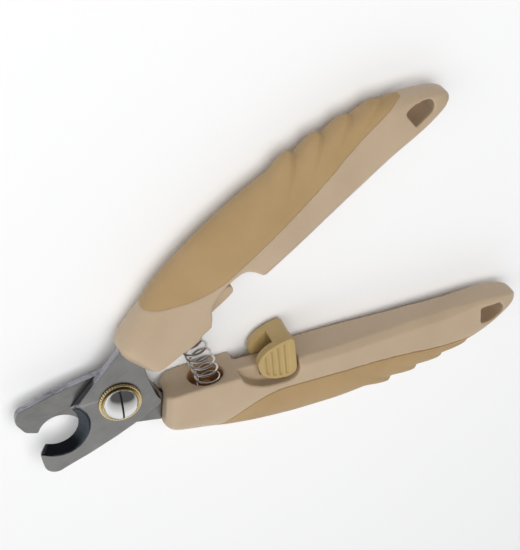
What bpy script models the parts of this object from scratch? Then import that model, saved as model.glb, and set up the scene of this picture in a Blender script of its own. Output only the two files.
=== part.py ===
"""Plier-type pet nail trimmer: two crossed cutting blades, two moulded handles with soft grips,
a return spring and a sliding lock.

Every shape is drawn in millimetres in a handle frame (u, v, w) with its origin on the pivot: u runs
along the handle from the pivot to its end, v runs outwards from the other handle, and w is up when
the trimmer lies flat. The upper handle and its blade use the frame as it is; the lower handle and its
blade are the same frame turned half a turn about X.
"""
import math

import bmesh
import bpy
import numpy as np
from mathutils import Matrix, Vector

MM = 0.001

# Driving dimensions, millimetres and degrees.
PIVOT_X = -47.33           # pivot along X, so that the part is centred on the origin
PIVOT_Z = 7.3              # pivot height above the surface the trimmer lies on
HALF_OPEN = 17.0           # angle of each handle from the centre line, at rest
GAP = 0.3                  # clearance between neighbouring solids

NOSE_U = 12.5              # front end of a handle
TIP_U = 130.4              # rear end of a handle
GRIP_FRONT_U = 25.5        # where the soft grip starts and ends on the spine
GRIP_REAR_U = 120.0
GRIP_DEPTH = 1.6           # thickness of the soft grip
TOOTH_FIRST_U = 78.3       # finger ridges: first valley, spacing and count
TOOTH_PITCH = 9.28
TOOTH_COUNT = 4
TOOTH_HEIGHT = 1.9         # height of the ridge nearest the pivot
TOOTH_LOSS = 0.2           # how much lower each ridge after it is
TOOTH_SWEEP = 17.0         # how far a ridge sweeps towards the pivot as it runs down the side
ROUND_POWER = 2.2          # exponent of the rounded outer side

BLADE_THICK = 2.5
BLADE_LIFT = 0.15          # half of the clearance between the blades
JAW_EDGE = (-18.6, 8.0, 7.0, 202, 6.5)      # cutting edge: centre u, v, radius, start and end angle
JAW_FACE = (-18.3, 7.4, 9.6, 192, 10.5)     # the same where the hollow bevel meets the outer face
TANG_END_U = 44.0

SCREW_HEAD_R = 5.15
SCREW_HEAD_H = 2.3
SCREW_SHANK_R = 2.5
WASHER_R = 6.7
WASHER_TEETH = 36
NUT_FLAT = 8.0
NUT_H = 2.6

SPRING_U = 27.0            # distance of the spring sockets from the pivot
SPRING_R = 3.65            # mean coil radius
SPRING_MIDDLE = 26.8       # distance of the spring's middle from the pivot
SPRING_BOW = 59.0          # radius of the slight bow in the spring's centre line
SPRING_REACH = 13.8        # half of the spring's length
SPRING_WIRE_R = 0.4
SPRING_TURNS = 9.0
SOCKET_R = 5.5
SOCKET_FLOOR_V = 6.9
BOSS_R = 1.6
BOSS_TOP_V = 3.9

RAIL_W = 2.85              # half thickness of the rail that the lock slides on
PAD_IN_W = 3.1
PAD_OUT_W = 6.2
LUG_U = 48.1               # middle of the lugs on the rail, unlocked
RIB_U = 48.4               # middle one of a pad's five ribs
RIB_PITCH = 2.05
PAD = [(42.2, -1.4), (43.6, -3.9), (45.9, -5.7), (49.8, -7.3), (53.0, -7.9), (54.0, -7.5), (54.5, -6.5),
       (54.6, 3.2), (54.2, 4.7), (53.2, 5.6), (51.5, 6.0), (47.5, 5.6), (44.8, 4.4), (42.9, 2.0)]

# Handle outline: each list holds (u, value) pairs, joined by a smooth curve.
OUTER_V = [(12.5, 13.2), (13.6, 14.9), (15.5, 15.8), (18, 16.6), (24, 18.4), (33, 20.9), (43, 22.4),
           (55, 23.1), (66, 23.0), (78, 22.0), (90, 20.5), (103, 17.9), (115, 14.2), (122, 10.7),
           (127, 7.1), (129.4, 4.8), (130.4, 3.3)]
INNER_V = [(12.5, 2.2), (15, 1.2), (20, 0.65), (27, 0.55), (60, 0.35), (100, -0.1), (118, -0.35),
           (126, 0.0), (129.4, 0.8), (130.4, 1.5)]
HALF_THICK = [(12.5, 4.6), (14.8, 6.8), (17, 7.2), (24, 7.3), (62, 7.3), (85, 6.3), (106, 5.3),
              (120, 4.7), (127, 4.0), (129.4, 3.2), (130.4, 2.2)]
ROUND_V = [(12.5, 3.6), (18, 4.8), (26, 8.0), (36, 11.4), (46, 13.2), (60, 13.8), (90, 10.4),
           (106, 6.4), (118, 3.6), (126, 2.4), (130.4, 0.5)]
FACET_V = [(12.5, 0.5), (50, 0.5), (58, 2.1), (104, 2.0), (118, 0.9), (130.4, 0.3)]
GRIP_EDGE_V = [(24.0, 19.0), (25.5, 18.4), (28.1, 17.3), (30.5, 16.0), (33.8, 14.1), (37, 12.2),
               (41.2, 10.5), (50, 9.0), (60, 8.9), (75, 9.4), (91, 10.6), (100, 11.6), (109, 12.2),
               (114, 12.1), (117, 11.8), (120, 11.2), (122, 10.6)]


def clear_scene():
    for old in list(bpy.data.objects):
        bpy.data.objects.remove(old, do_unlink=True)


def smooth_curve(points, at):
    """Cubic Hermite curve through (x, value) points, which never overshoots them.

    The slope at a point is the harmonic mean of the slopes on both sides, and zero at a turn.
    """
    xs = np.array([p[0] for p in points], float)
    ys = np.array([p[1] for p in points], float)
    sides = np.diff(ys) / np.diff(xs)
    product = sides[:-1] * sides[1:]
    total = np.where(product > 0, sides[:-1] + sides[1:], 1.0)
    inner = np.where(product > 0, 2 * product / total, 0.0)
    slopes = np.concatenate([sides[:1], inner, sides[-1:]])
    at = np.clip(np.asarray(at, float), xs[0], xs[-1])
    i = np.clip(np.searchsorted(xs, at) - 1, 0, len(xs) - 2)
    step = xs[i + 1] - xs[i]
    t = (at - xs[i]) / step
    rise = ys[i] * (2 * t**3 - 3 * t**2 + 1) + ys[i + 1] * (3 * t**2 - 2 * t**3)
    return rise + step * (slopes[i] * (t**3 - 2 * t**2 + t) + slopes[i + 1] * (t**3 - t**2))


def place(upper, angle=HALF_OPEN):
    """Matrix from a handle frame in millimetres to the world in metres."""
    turn = Matrix.Rotation(math.radians(angle if upper else -angle), 4, "Z")
    flip = Matrix.Identity(4) if upper else Matrix.Rotation(math.pi, 4, "X")
    origin = Matrix.Translation(Vector((PIVOT_X, 0, PIVOT_Z)) * MM)
    return origin @ turn @ flip @ Matrix.Scale(MM, 4)


def material(name, colour, roughness, metallic=0.0):
    mat = bpy.data.materials.new(name)
    mat.use_nodes = True
    shader = mat.node_tree.nodes["Principled BSDF"]
    shader.inputs["Base Color"].default_value = (*colour, 1.0)
    shader.inputs["Roughness"].default_value = roughness
    shader.inputs["Metallic"].default_value = metallic
    return mat


def mesh_object(name, verts, faces, matrix, mat=None, sharp_deg=35.0):
    """Object whose mesh is built in handle millimetres and moved to the world by matrix."""
    bm = bmesh.new()
    points = [bm.verts.new(matrix @ Vector(v)) for v in np.asarray(verts, float).tolist()]
    for face in faces:
        bm.faces.new([points[k] for k in face])
    bmesh.ops.remove_doubles(bm, verts=bm.verts, dist=0.00002)
    bmesh.ops.dissolve_degenerate(bm, edges=bm.edges, dist=0.00001)
    loose = [edge for edge in bm.edges if not edge.link_faces]
    bmesh.ops.delete(bm, geom=loose, context="EDGES")
    bmesh.ops.recalc_face_normals(bm, faces=bm.faces)
    mesh = bpy.data.meshes.new(name)
    bm.to_mesh(mesh)
    bm.free()
    mesh.shade_smooth()
    mesh.set_sharp_from_angle(angle=math.radians(sharp_deg))
    obj = bpy.data.objects.new(name, mesh)
    bpy.context.scene.collection.objects.link(obj)
    if mat:
        mesh.materials.append(mat)
    return obj


def ring_loft(rings):
    """Vertices and faces of a closed skin over equal rings, with a flat cap at each end."""
    count, size = rings.shape[0], rings.shape[1]
    verts = rings.reshape(-1, 3)
    faces = [tuple(range(size))[::-1], tuple(range((count - 1) * size, count * size))]
    for i in range(count - 1):
        for j in range(size):
            k = (j + 1) % size
            faces.append((i * size + j, i * size + k, (i + 1) * size + k, (i + 1) * size + j))
    return verts, faces


def prism(outline, low, high, top_outline=None):
    """Solid from an outline in u, v at height low to the same outline, or another, at height high."""
    base = np.array([(u, v, low) for u, v in outline], float)
    top = np.array([(u, v, high) for u, v in (top_outline or outline)], float)
    return ring_loft(np.stack([base, top]))


def arc(cu, cv, radius, start, end, steps):
    """Points on a circle from start to end, in degrees."""
    angles = np.radians(np.linspace(start, end, steps))
    return [(cu + radius * math.cos(a), cv + radius * math.sin(a)) for a in angles]


def lathe(profile, steps, tooth=0.0, tooth_from=1e9):
    """Turned solid about w from (radius, w) pairs that start and end on the axis or close a ring."""
    angles = np.linspace(0, 2 * np.pi, steps, endpoint=False)
    rings = []
    for k, a in enumerate(angles):
        cut = tooth if k % 2 else 0.0
        rings.append([((r - cut * (r >= tooth_from)) * math.cos(a),
                       (r - cut * (r >= tooth_from)) * math.sin(a), w) for r, w in profile])
    rings = np.array(rings)
    size = rings.shape[1]
    faces = []
    for i in range(steps):
        n = (i + 1) % steps
        for j in range(size):
            k = (j + 1) % size
            faces.append((i * size + j, i * size + k, n * size + k, n * size + j))
    return rings.reshape(-1, 3), faces


def cutter(name, verts, faces, matrix):
    tool = mesh_object(name, verts, faces, matrix)
    tool.hide_render = True
    tool.display_type = "WIRE"
    return tool


def cut(obj, tool, operation="DIFFERENCE"):
    step = obj.modifiers.new(tool.name, "BOOLEAN")
    step.operation = operation
    step.object = tool
    step.solver = "EXACT"


def bake(obj, tools):
    """Apply an object's Boolean steps and remove the tools that made them."""
    graph = bpy.context.evaluated_depsgraph_get()
    mesh = bpy.data.meshes.new_from_object(obj.evaluated_get(graph))
    obj.modifiers.clear()
    obj.data = mesh
    for tool in tools:
        bpy.data.objects.remove(tool, do_unlink=True)
    mesh.shade_smooth()
    mesh.set_sharp_from_angle(angle=math.radians(35))


def tooth_height(u):
    """Finger ridges: a slow rise to 0.88 of the pitch, then a short fall, for each of the ridges."""
    phase = (u - TOOTH_FIRST_U) / TOOTH_PITCH
    part = phase - np.floor(phase)
    rise = np.sin(np.clip(part / 0.88, 0, 1) * np.pi / 2) ** 1.6
    fall = np.cos(np.clip((part - 0.88) / 0.12, 0, 1) * np.pi / 2)
    inside = (phase >= 0) & (phase < TOOTH_COUNT)
    height = TOOTH_HEIGHT - TOOTH_LOSS * np.floor(phase)
    return np.where(inside, height * rise * fall, 0.0)


def handle_point(u, v, w):
    """Slant the front end: near the nose the outer side reaches further forward."""
    fade = np.clip((27.0 - u) / 14.5, 0, 1) ** 2
    return (u - 0.17 * (v - 8.0) * fade, v, w)


def side_profile(u, inset=0.0, teeth=False):
    """One side of the handle at u, from the inner edge to the spine at w = 0, moved in by inset.

    The side is flat up to the start of the round part; from there it is a quarter of a superellipse.
    """
    inner = float(smooth_curve(INNER_V, u))
    crown = float(smooth_curve(OUTER_V, u)) - inset
    half = float(smooth_curve(HALF_THICK, u)) - inset
    reach = min(float(smooth_curve(ROUND_V, u)), crown - inner - 0.4)
    angle = np.linspace(np.pi / 2, 0, 25)
    lift = 0.0
    if teeth:
        sweep = TOOTH_SWEEP * (2 * angle / np.pi) ** 1.15
        lift = tooth_height(u + sweep) * np.cos(angle) ** 0.7
    v = crown - reach + (reach + lift) * np.clip(np.cos(angle), 0, 1) ** (2 / ROUND_POWER)
    w = half * np.sin(angle) ** (2 / ROUND_POWER)
    return np.concatenate([[inner], v]), np.concatenate([[half], w])


def spread(profile, from_v, steps):
    """Points evenly spaced along a side profile from from_v to its spine."""
    v, w = profile
    if from_v >= v[-1] - 0.02:
        height = float(np.interp(from_v, v, w))
        return [(from_v, height * k / (steps - 1)) for k in range(steps - 1, -1, -1)]
    keep = v > from_v
    v = np.concatenate([[from_v], v[keep]])
    w = np.concatenate([[np.interp(from_v, profile[0], profile[1])], w[keep]])
    run = np.concatenate([[0], np.cumsum(np.hypot(np.diff(v), np.diff(w)))])
    at = np.linspace(0, run[-1], steps)
    return list(zip(np.interp(at, run, v), np.interp(at, run, w)))


def core_ring(u, side_steps=9, floor_steps=6):
    """Closed ring of the hard handle at u, stepped down where the soft grip covers it."""
    inner = float(smooth_curve(INNER_V, u))
    crown = float(smooth_curve(OUTER_V, u))
    half = float(smooth_curve(HALF_THICK, u))
    facet = min(float(smooth_curve(FACET_V, u)), 0.3 * (crown - inner))
    edge = float(smooth_curve(GRIP_EDGE_V, u)) - GAP
    whole = side_profile(u)
    side = [(inner, 0.0), (inner, half - 0.85 * facet)]
    if edge > crown - 0.3:
        side += spread(whole, inner + facet, side_steps)
        side += [(crown, 0.0)] * floor_steps
    else:
        flank = np.array(spread(whole, inner + facet, 60))
        flank = flank[flank[:, 0] < edge]
        edge_w = float(np.interp(edge, whole[0], whole[1]))
        pick = np.round(np.linspace(0, len(flank) - 1, side_steps - 1)).astype(int)
        side += [tuple(flank[k]) for k in pick] + [(edge, edge_w)]
        floor = side_profile(u, GRIP_DEPTH + GAP)
        if edge >= floor[0][-1] - 0.02:
            side += [(edge, edge_w * k / floor_steps) for k in range(floor_steps - 1, -1, -1)]
        else:
            side += spread(floor, edge, floor_steps)
    lower = [(v, -w) for v, w in side[-2:0:-1]]
    return [handle_point(u, v, w) for v, w in side + lower]


def stations(start, end, plain, fine_ranges):
    """Positions along the handle: plain spacing, with finer spacing inside the given ranges."""
    values = [start]
    while values[-1] < end - 0.05:
        spacing = plain
        for low, high, fine in fine_ranges:
            if low <= values[-1] < high:
                spacing = fine
        values.append(min(end, values[-1] + spacing))
    return values


def handle_core(name, upper, mat):
    rows = stations(NOSE_U, TIP_U, 4.0, [(12.5, 15.0, 1.2), (15.0, 24.0, 2.2), (24.0, 36.0, 1.4),
                                         (112.0, 122.0, 1.6), (122.0, 131.0, 1.2)])
    rings = np.array([core_ring(u) for u in rows])
    return mesh_object(name, *ring_loft(rings), place(upper), mat)


def grip_ring(u, steps=8):
    """C-shaped closed ring of the soft grip at u: over the outside, then back underneath."""
    edge = float(smooth_curve(GRIP_EDGE_V, u))
    outer = spread(side_profile(u, teeth=True), edge, steps)
    floor = side_profile(u, GRIP_DEPTH)
    if edge >= floor[0][-1] - 0.02:
        inside = [(edge, 0.9 * outer[0][1] * k / (steps - 1)) for k in range(steps - 1, -1, -1)]
    else:
        inside = spread(floor, edge, steps)
    over = outer + [(v, -w) for v, w in outer[-2::-1]]
    under = inside + [(v, -w) for v, w in inside[-2::-1]]
    return [handle_point(u, v, w) for v, w in over + under[::-1]]


def grip(name, upper, mat):
    rows = stations(GRIP_FRONT_U, GRIP_REAR_U, 4.2, [(20.0, 36.0, 1.5), (72.0, 120.0, 1.55)])
    rings = np.array([grip_ring(u) for u in rows])
    return mesh_object(name, *ring_loft(rings), place(upper), mat)


def blade_outline(jaw):
    """Blade seen from the front, from the jaw's rear corner round by the tang and the tip."""
    centre_u, centre_v, radius, start, end = jaw
    opening = arc(centre_u, centre_v, radius, start, 360 + end, 20)
    tang = [(12.6, 13.4), (19.0, 14.6), (TANG_END_U, 15.2), (TANG_END_U, 9.4), (19.0, 8.6),
            (15.5, 5.0), (12.6, 2.8)]
    heel = [(10.8, -0.9), (8.5, -7.0)] + arc(6.5, -9.2, 1.7, 15, -100, 6)
    front = [(-2.0, -10.0), (-9.5, -8.8), (-18.8, -6.8), (-25.5, -4.95)]
    tip = arc(-27.1, -0.8, 3.7, 250, 150, 7) + [(-28.7, 4.0)]
    return opening + tang + heel + front + tip


def blade(name, upper, mat):
    low = blade_outline(JAW_EDGE)
    high = blade_outline(JAW_FACE)
    bottom = BLADE_LIFT
    obj = mesh_object(name, *prism(low, bottom, bottom + BLADE_THICK, high), place(upper), mat)
    hole = [(0, -3), (SCREW_SHANK_R + 0.2, -3), (SCREW_SHANK_R + 0.2, 6), (0, 6)]
    tool = cutter(name + "_bore", *lathe(hole, 32), place(upper))
    cut(obj, tool)
    bake(obj, [tool])
    return obj


def socket_tool(name, upper):
    """Round spring pocket in the inner face, with a centre boss left standing."""
    profile = [(0, -3), (SOCKET_R, -3), (SOCKET_R, SOCKET_FLOOR_V), (BOSS_R, SOCKET_FLOOR_V),
               (BOSS_R, BOSS_TOP_V), (0, BOSS_TOP_V)]
    verts, faces = lathe(profile, 28)
    verts = np.stack([verts[:, 0] + SPRING_U, verts[:, 2], -verts[:, 1]], axis=1)
    return cutter(name + "_socket", verts, faces, place(upper))


def tang_tool(name, upper):
    """Pocket for the blade's tang, open at the front end."""
    tang = [(8.0, 14.5), (13.0, 14.1), (19.5, 15.0), (TANG_END_U + GAP, 15.5), (TANG_END_U + GAP, 9.1),
            (19.5, 8.3), (15.9, 4.8), (13.0, 2.2), (8.0, 1.4)]
    low = BLADE_LIFT - GAP
    return cutter(name + "_pocket", *prism(tang, low, BLADE_LIFT + BLADE_THICK + GAP), place(upper))


def hang_tool(name, upper):
    """D-shaped hanging hole through the rear end."""
    outline = [(117.2, 2.4), (123.6, 2.3)] + arc(123.2, 4.8, 2.5, -60, 40, 5)
    outline += [(122.8, 7.6), (120.2, 8.6), (118.0, 8.6), (117.2, 7.6)]
    return cutter(name + "_hole", *prism(outline, -9.0, 9.0), place(upper))


def notch_tools(name, upper):
    """Notch that clears the lock's pads, leaving a hook that points to the rear in the middle."""
    sweep = [(57.4, -2.0), (57.3, 1.4), (56.6, 4.2), (55.4, 6.6), (53.2, 7.7), (49.0, 7.9), (45.0, 7.4),
             (41.5, 6.3), (39.5, 5.0), (38.3, 3.1), (36.2, 1.0), (33.6, -2.0)]
    middle = [(57.4, -2.0), (57.3, 1.4), (56.6, 4.2), (55.4, 6.6), (53.2, 7.7), (46.0, 7.9),
              (42.6, 7.5), (42.0, 6.3), (42.5, 4.8), (47.2, 4.5), (48.0, 3.6), (47.8, 2.2),
              (46.8, 1.5), (37.8, 1.3), (37.8, -2.0)]
    near = cutter(name + "_notch_near", *prism(sweep, 3.0, 12.0), place(upper))
    far = cutter(name + "_notch_far", *prism(sweep, -12.0, -3.0), place(upper))
    slot = cutter(name + "_hook_slot", *prism(middle, -3.2, 3.2), place(upper))
    return [near, far, slot]


def rail_tools(name, upper):
    """Side recesses that leave a thin rail for the lock, each with a blind slot for a lug."""
    outline = [(36.4, -2.0), (36.5, 0.8), (37.2, 2.7), (39.0, 4.5), (42.5, 6.1), (46.0, 6.8),
               (51.5, 7.0), (54.0, 6.0), (55.2, 3.8), (55.3, -2.0)]
    slot = [(43.4, 1.7), (50.6, 1.7), (50.6, 5.1), (43.4, 5.1)]
    tools = []
    for side, sign in (("near", 1), ("far", -1)):
        low, high = sorted((sign * RAIL_W, sign * 12.0))
        tools.append(cutter(name + "_recess_" + side, *prism(outline, low, high), place(upper)))
        low, high = sorted((sign * 1.5, sign * (RAIL_W + 0.5)))
        tools.append(cutter(name + "_slot_" + side, *prism(slot, low, high), place(upper)))
    return tools


def rim_lip(name, upper):
    """Small raised lip beside the spring, on one edge of the inner face."""
    outline = [(24.2, 2.5), (24.6, 0.3), (25.8, -0.25), (30.6, -0.25), (31.8, 0.3), (32.2, 2.5)]
    return cutter(name + "_lip", *prism(outline, 5.7, 6.9), place(upper))


def lock_slider(upper, mat):
    """Saddle with two ribbed pads, a roof that catches the hook, and lugs that hold it on the rail."""
    body = mesh_object("lock_slider", *prism(PAD, PAD_IN_W, PAD_OUT_W), place(upper), mat)
    roof = [(48.2, -6.9), (49.8, -7.2), (53.0, -7.8), (53.9, -7.4), (54.4, -6.5), (54.4, 0.1),
            (52.2, 0.1), (52.2, -5.8), (48.2, -5.8)]
    joins = [cutter("lock_far_pad", *prism(PAD, -PAD_OUT_W, -PAD_IN_W), place(upper)),
             cutter("lock_roof", *prism(roof, -3.5, 3.5), place(upper))]
    lug = arc(LUG_U, 3.4, 1.35, 0, 330, 12)
    joins.append(cutter("lock_lug_near", *prism(lug, 1.8, 3.6), place(upper)))
    joins.append(cutter("lock_lug_far", *prism(lug, -3.6, -1.8), place(upper)))
    grooves = []
    for k, (low_v, high_v) in enumerate([(-2.6, 2.6), (-4.2, 3.9), (-5.1, 4.3), (-5.8, 4.5)]):
        middle = RIB_U + (k - 1.5) * RIB_PITCH
        box = [(middle - 0.5, low_v), (middle + 0.5, low_v), (middle + 0.5, high_v), (middle - 0.5, high_v)]
        for sign in (1, -1):
            low, high = sorted((sign * (PAD_OUT_W - 0.5), sign * (PAD_OUT_W + 1.0)))
            grooves.append(cutter(f"lock_groove_{k}_{sign + 1}", *prism(box, low, high), place(upper)))
    for tool in joins:
        cut(body, tool, "UNION")
    for tool in grooves:
        cut(body, tool)
    bake(body, joins + grooves)
    return body


def pivot_frame():
    return Matrix.Translation(Vector((PIVOT_X, 0, PIVOT_Z)) * MM) @ Matrix.Scale(MM, 4)


def pivot_screw(mat):
    """Domed slotted head on a plain shank that reaches through both blades and the nut."""
    seat = BLADE_LIFT + BLADE_THICK + 0.9
    dome = [(SCREW_HEAD_R * math.cos(a), seat + 0.5 + (SCREW_HEAD_H - 0.5) * math.sin(a))
            for a in np.linspace(0, math.pi / 2, 8)]
    profile = [(0, -PIVOT_Z + 0.5), (SCREW_SHANK_R, -PIVOT_Z + 0.5), (SCREW_SHANK_R, seat),
               (SCREW_HEAD_R - 0.2, seat)] + dome
    obj = mesh_object("pivot_screw", *lathe(profile, 40), pivot_frame(), mat)
    slot = [(-6, -0.45), (6, -0.45), (6, 0.45), (-6, 0.45)]
    turned = [(u * math.cos(1.06) - v * math.sin(1.06), u * math.sin(1.06) + v * math.cos(1.06))
              for u, v in slot]
    tool = cutter("screw_slot", *prism(turned, seat + 1.2, seat + 5), pivot_frame())
    cut(obj, tool)
    bake(obj, [tool])
    return obj


def serrated_washer(mat):
    """Cup washer under the head, with a raised rim that is serrated round its edge."""
    seat = BLADE_LIFT + BLADE_THICK + 0.1
    profile = [(SCREW_SHANK_R + 0.2, seat), (WASHER_R, seat), (WASHER_R, seat + 0.9),
               (WASHER_R - 0.45, seat + 1.5), (WASHER_R - 1.0, seat + 1.4), (SCREW_HEAD_R + 0.3, seat + 0.6),
               (SCREW_SHANK_R + 0.2, seat + 0.6)]
    verts, faces = lathe(profile, 2 * WASHER_TEETH, tooth=0.25, tooth_from=WASHER_R - 0.5)
    return mesh_object("serrated_washer", verts, faces, pivot_frame(), mat)


def rear_washer(mat):
    top = -(BLADE_LIFT + BLADE_THICK + 0.1)
    profile = [(SCREW_SHANK_R + 0.2, top - 0.8), (5.6, top - 0.8), (5.6, top), (SCREW_SHANK_R + 0.2, top)]
    return mesh_object("rear_washer", *lathe(profile, 36), pivot_frame(), mat)


def pivot_nut(mat):
    """Hexagon nut on the underside."""
    top = -(BLADE_LIFT + BLADE_THICK + 1.1)
    corner = NUT_FLAT / math.sqrt(3)
    hexagon = [(corner * math.cos(a), corner * math.sin(a)) for a in np.radians(np.arange(0, 360, 60))]
    obj = mesh_object("pivot_nut", *prism(hexagon, top - NUT_H, top), pivot_frame(), mat)
    bore = [(0, top - 5), (SCREW_SHANK_R + 0.15, top - 5), (SCREW_SHANK_R + 0.15, top + 2), (0, top + 2)]
    tool = cutter("nut_bore", *lathe(bore, 32), pivot_frame())
    cut(obj, tool)
    bake(obj, [tool])
    return obj


def return_spring(mat):
    """Coil spring: a helix on a slightly bowed centre line that stands in both sockets."""
    count = int(SPRING_TURNS * 13)
    rings = []
    for k in range(count + 1):
        along = SPRING_REACH * (2 * k / count - 1)
        middle = np.array([SPRING_MIDDLE - along**2 / (2 * SPRING_BOW), along, 0.0])
        lean = along / SPRING_BOW
        out = np.array([math.cos(lean), math.sin(lean), 0.0])
        tangent = np.array([-math.sin(lean), math.cos(lean), 0.0])
        turn = 2 * math.pi * SPRING_TURNS * k / count
        radial = out * math.cos(turn) + np.array([0, 0, 1.0]) * math.sin(turn)
        centre = middle + radial * SPRING_R
        rings.append([centre + SPRING_WIRE_R * (math.cos(b) * radial + math.sin(b) * tangent)
                      for b in np.linspace(0, 2 * math.pi, 7)[:-1]])
    return mesh_object("return_spring", *ring_loft(np.array(rings)), pivot_frame(), mat, 70)


def finish_core(core, name, upper, extra):
    tools = [socket_tool(name, upper), tang_tool(name, upper), hang_tool(name, upper)] + extra
    lip = rim_lip(name, upper)
    cut(core, lip, "UNION")
    for tool in tools:
        cut(core, tool)
    bake(core, tools + [lip])


def build():
    clear_scene()
    shell = material("cream_plastic", (0.56, 0.43, 0.31), 0.42)
    soft = material("tan_rubber", (0.47, 0.33, 0.17), 0.6)
    amber = material("lock_plastic", (0.52, 0.38, 0.18), 0.45)
    steel = material("ground_steel", (0.33, 0.33, 0.32), 0.32, 1.0)
    plated = material("plated_steel", (0.72, 0.72, 0.70), 0.12, 1.0)
    brass = material("gold_washer", (0.66, 0.50, 0.24), 0.3, 1.0)

    upper = handle_core("upper_handle", True, shell)
    finish_core(upper, "upper_handle", True, notch_tools("upper_handle", True))
    lower = handle_core("lower_handle", False, shell)
    finish_core(lower, "lower_handle", False, rail_tools("lower_handle", False))
    grip("upper_grip", True, soft)
    grip("lower_grip", False, soft)
    blade("front_blade", True, steel)
    blade("rear_blade", False, steel)
    lock_slider(False, amber)
    pivot_screw(plated)
    serrated_washer(brass)
    rear_washer(plated)
    pivot_nut(plated)
    return_spring(plated)


build()
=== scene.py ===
import math

import bmesh
import bpy
import numpy as np
from mathutils import Matrix, Vector


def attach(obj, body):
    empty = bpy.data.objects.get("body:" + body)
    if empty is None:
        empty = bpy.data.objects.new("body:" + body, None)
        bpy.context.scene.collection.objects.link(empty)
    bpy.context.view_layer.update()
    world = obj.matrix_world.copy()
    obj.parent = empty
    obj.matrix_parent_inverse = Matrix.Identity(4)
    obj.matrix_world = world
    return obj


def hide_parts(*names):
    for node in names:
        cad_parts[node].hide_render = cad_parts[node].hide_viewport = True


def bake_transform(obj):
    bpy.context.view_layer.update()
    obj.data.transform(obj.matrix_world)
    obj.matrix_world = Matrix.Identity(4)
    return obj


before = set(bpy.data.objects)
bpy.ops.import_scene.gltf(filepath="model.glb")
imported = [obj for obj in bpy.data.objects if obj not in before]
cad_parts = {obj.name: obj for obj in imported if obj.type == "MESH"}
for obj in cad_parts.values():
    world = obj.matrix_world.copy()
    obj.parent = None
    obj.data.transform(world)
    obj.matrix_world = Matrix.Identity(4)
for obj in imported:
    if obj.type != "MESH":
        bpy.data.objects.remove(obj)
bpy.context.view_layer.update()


# ---------------------------------------------------------------------------------------------------
# The blades: two hooked cutting blades of ground stainless sheet, laid face to face and crossed on
# the pivot. The jaw of each is hollow-ground from its outer face to a cutting edge on the face that
# slides on the other blade. The tang is buried in the handle.

MM = 0.001
PIVOT = np.array([-0.04733, 0.0, 0.0073])      # where the pivot screw's middle is, in metres
HALF_OPEN = math.radians(17.0)                 # each handle's angle from the centre line
BLADE_LIFT = 0.15                              # half of the clearance between the blades
BLADE_THICK = 2.5
BLADE_BORE = 2.7
JAW_EDGE = np.array([-18.6, 8.0, 7.0, 202.0, 366.5])  # cutting edge: centre, radius, start and end angle
JAW_FACE = np.array([-18.3, 7.4, 9.6, 192.0, 370.5])  # the same where the hollow meets the outer face
JAW_POINTS = 60                                # along the jaw's arc, the rounded corners left out


def to_world(points, upper):
    """Handle frame (u along the handle, v outwards, w up) in mm to the world in metres.

    The lower handle's frame is turned half a turn about u; then each frame is turned about the pivot
    by half of the opening, upwards or downwards.
    """
    u, v, w = np.asarray(points, float).T
    if not upper:
        v, w = -v, -w
    angle = HALF_OPEN if upper else -HALF_OPEN
    x = u * math.cos(angle) - v * math.sin(angle)
    y = u * math.sin(angle) + v * math.cos(angle)
    return np.stack([x, y, w], axis=1) * MM + PIVOT


def round_off(corners, reach, steps=6):
    """Closed outline with every corner turned into a parabola.

    The parabola leaves the corner's two sides `reach` away from it, or at 45% of a shorter side:
    (1 - s)^2 A + 2 s (1 - s) corner + s^2 B.
    """
    corners = np.asarray(corners, float)
    back = np.roll(corners, 1, axis=0) - corners
    ahead = np.roll(corners, -1, axis=0) - corners
    a = corners + back * np.minimum(reach / np.linalg.norm(back, axis=1), 0.45)[:, None]
    b = corners + ahead * np.minimum(reach / np.linalg.norm(ahead, axis=1), 0.45)[:, None]
    s = np.linspace(0, 1, steps)[None, :, None]
    curve = (1 - s) ** 2 * a[:, None] + 2 * s * (1 - s) * corners[:, None] + s ** 2 * b[:, None]
    return curve.reshape(-1, 2)


def arc_points(centre, radius, start, end, count):
    """Points on a circle: centre + radius (cos a, sin a), a from start to end in degrees."""
    a = np.radians(np.linspace(start, end, count))
    return np.stack([centre[0] + radius * np.cos(a), centre[1] + radius * np.sin(a)], axis=1)


def skin(name, grid, wrap_rows=False, slots=None, sharp=None):
    """Mesh object over a grid of points whose columns close on themselves.

    Point (i, j) joins (i + 1, j + 1) in a quad. The rows close too where wrap_rows is true, and
    otherwise the first and last rows are capped. Slots give each quad its material.
    """
    rows, columns = grid.shape[:2]
    number = np.arange(rows * columns).reshape(rows, columns)
    below = number if wrap_rows else number[:-1]
    above = np.roll(number, -1, axis=0) if wrap_rows else number[1:]
    quads = np.stack([below, np.roll(below, -1, axis=1), np.roll(above, -1, axis=1), above], axis=2)
    faces = quads.reshape(-1, 4).tolist()
    if not wrap_rows:
        faces += [number[0][::-1].tolist(), number[-1].tolist()]
    mesh = bpy.data.meshes.new(name)
    mesh.from_pydata(grid.reshape(-1, 3).tolist(), [], faces)
    if slots is not None:
        caps = [] if wrap_rows else [0, 0]
        mesh.polygons.foreach_set("material_index", slots.ravel().tolist() + caps)
    bm = bmesh.new()
    bm.from_mesh(mesh)
    bmesh.ops.remove_doubles(bm, verts=bm.verts, dist=0.0005)
    bmesh.ops.dissolve_degenerate(bm, edges=bm.edges, dist=0.0002)
    loose = [edge for edge in bm.edges if not edge.link_faces]
    bmesh.ops.delete(bm, geom=loose, context="EDGES")
    bmesh.ops.recalc_face_normals(bm, faces=bm.faces)
    bm.to_mesh(mesh)
    bm.free()
    mesh.shade_smooth()
    if sharp:
        mesh.set_sharp_from_angle(angle=math.radians(sharp))
    obj = bpy.data.objects.new(name, mesh)
    bpy.context.scene.collection.objects.link(obj)
    return obj


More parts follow.
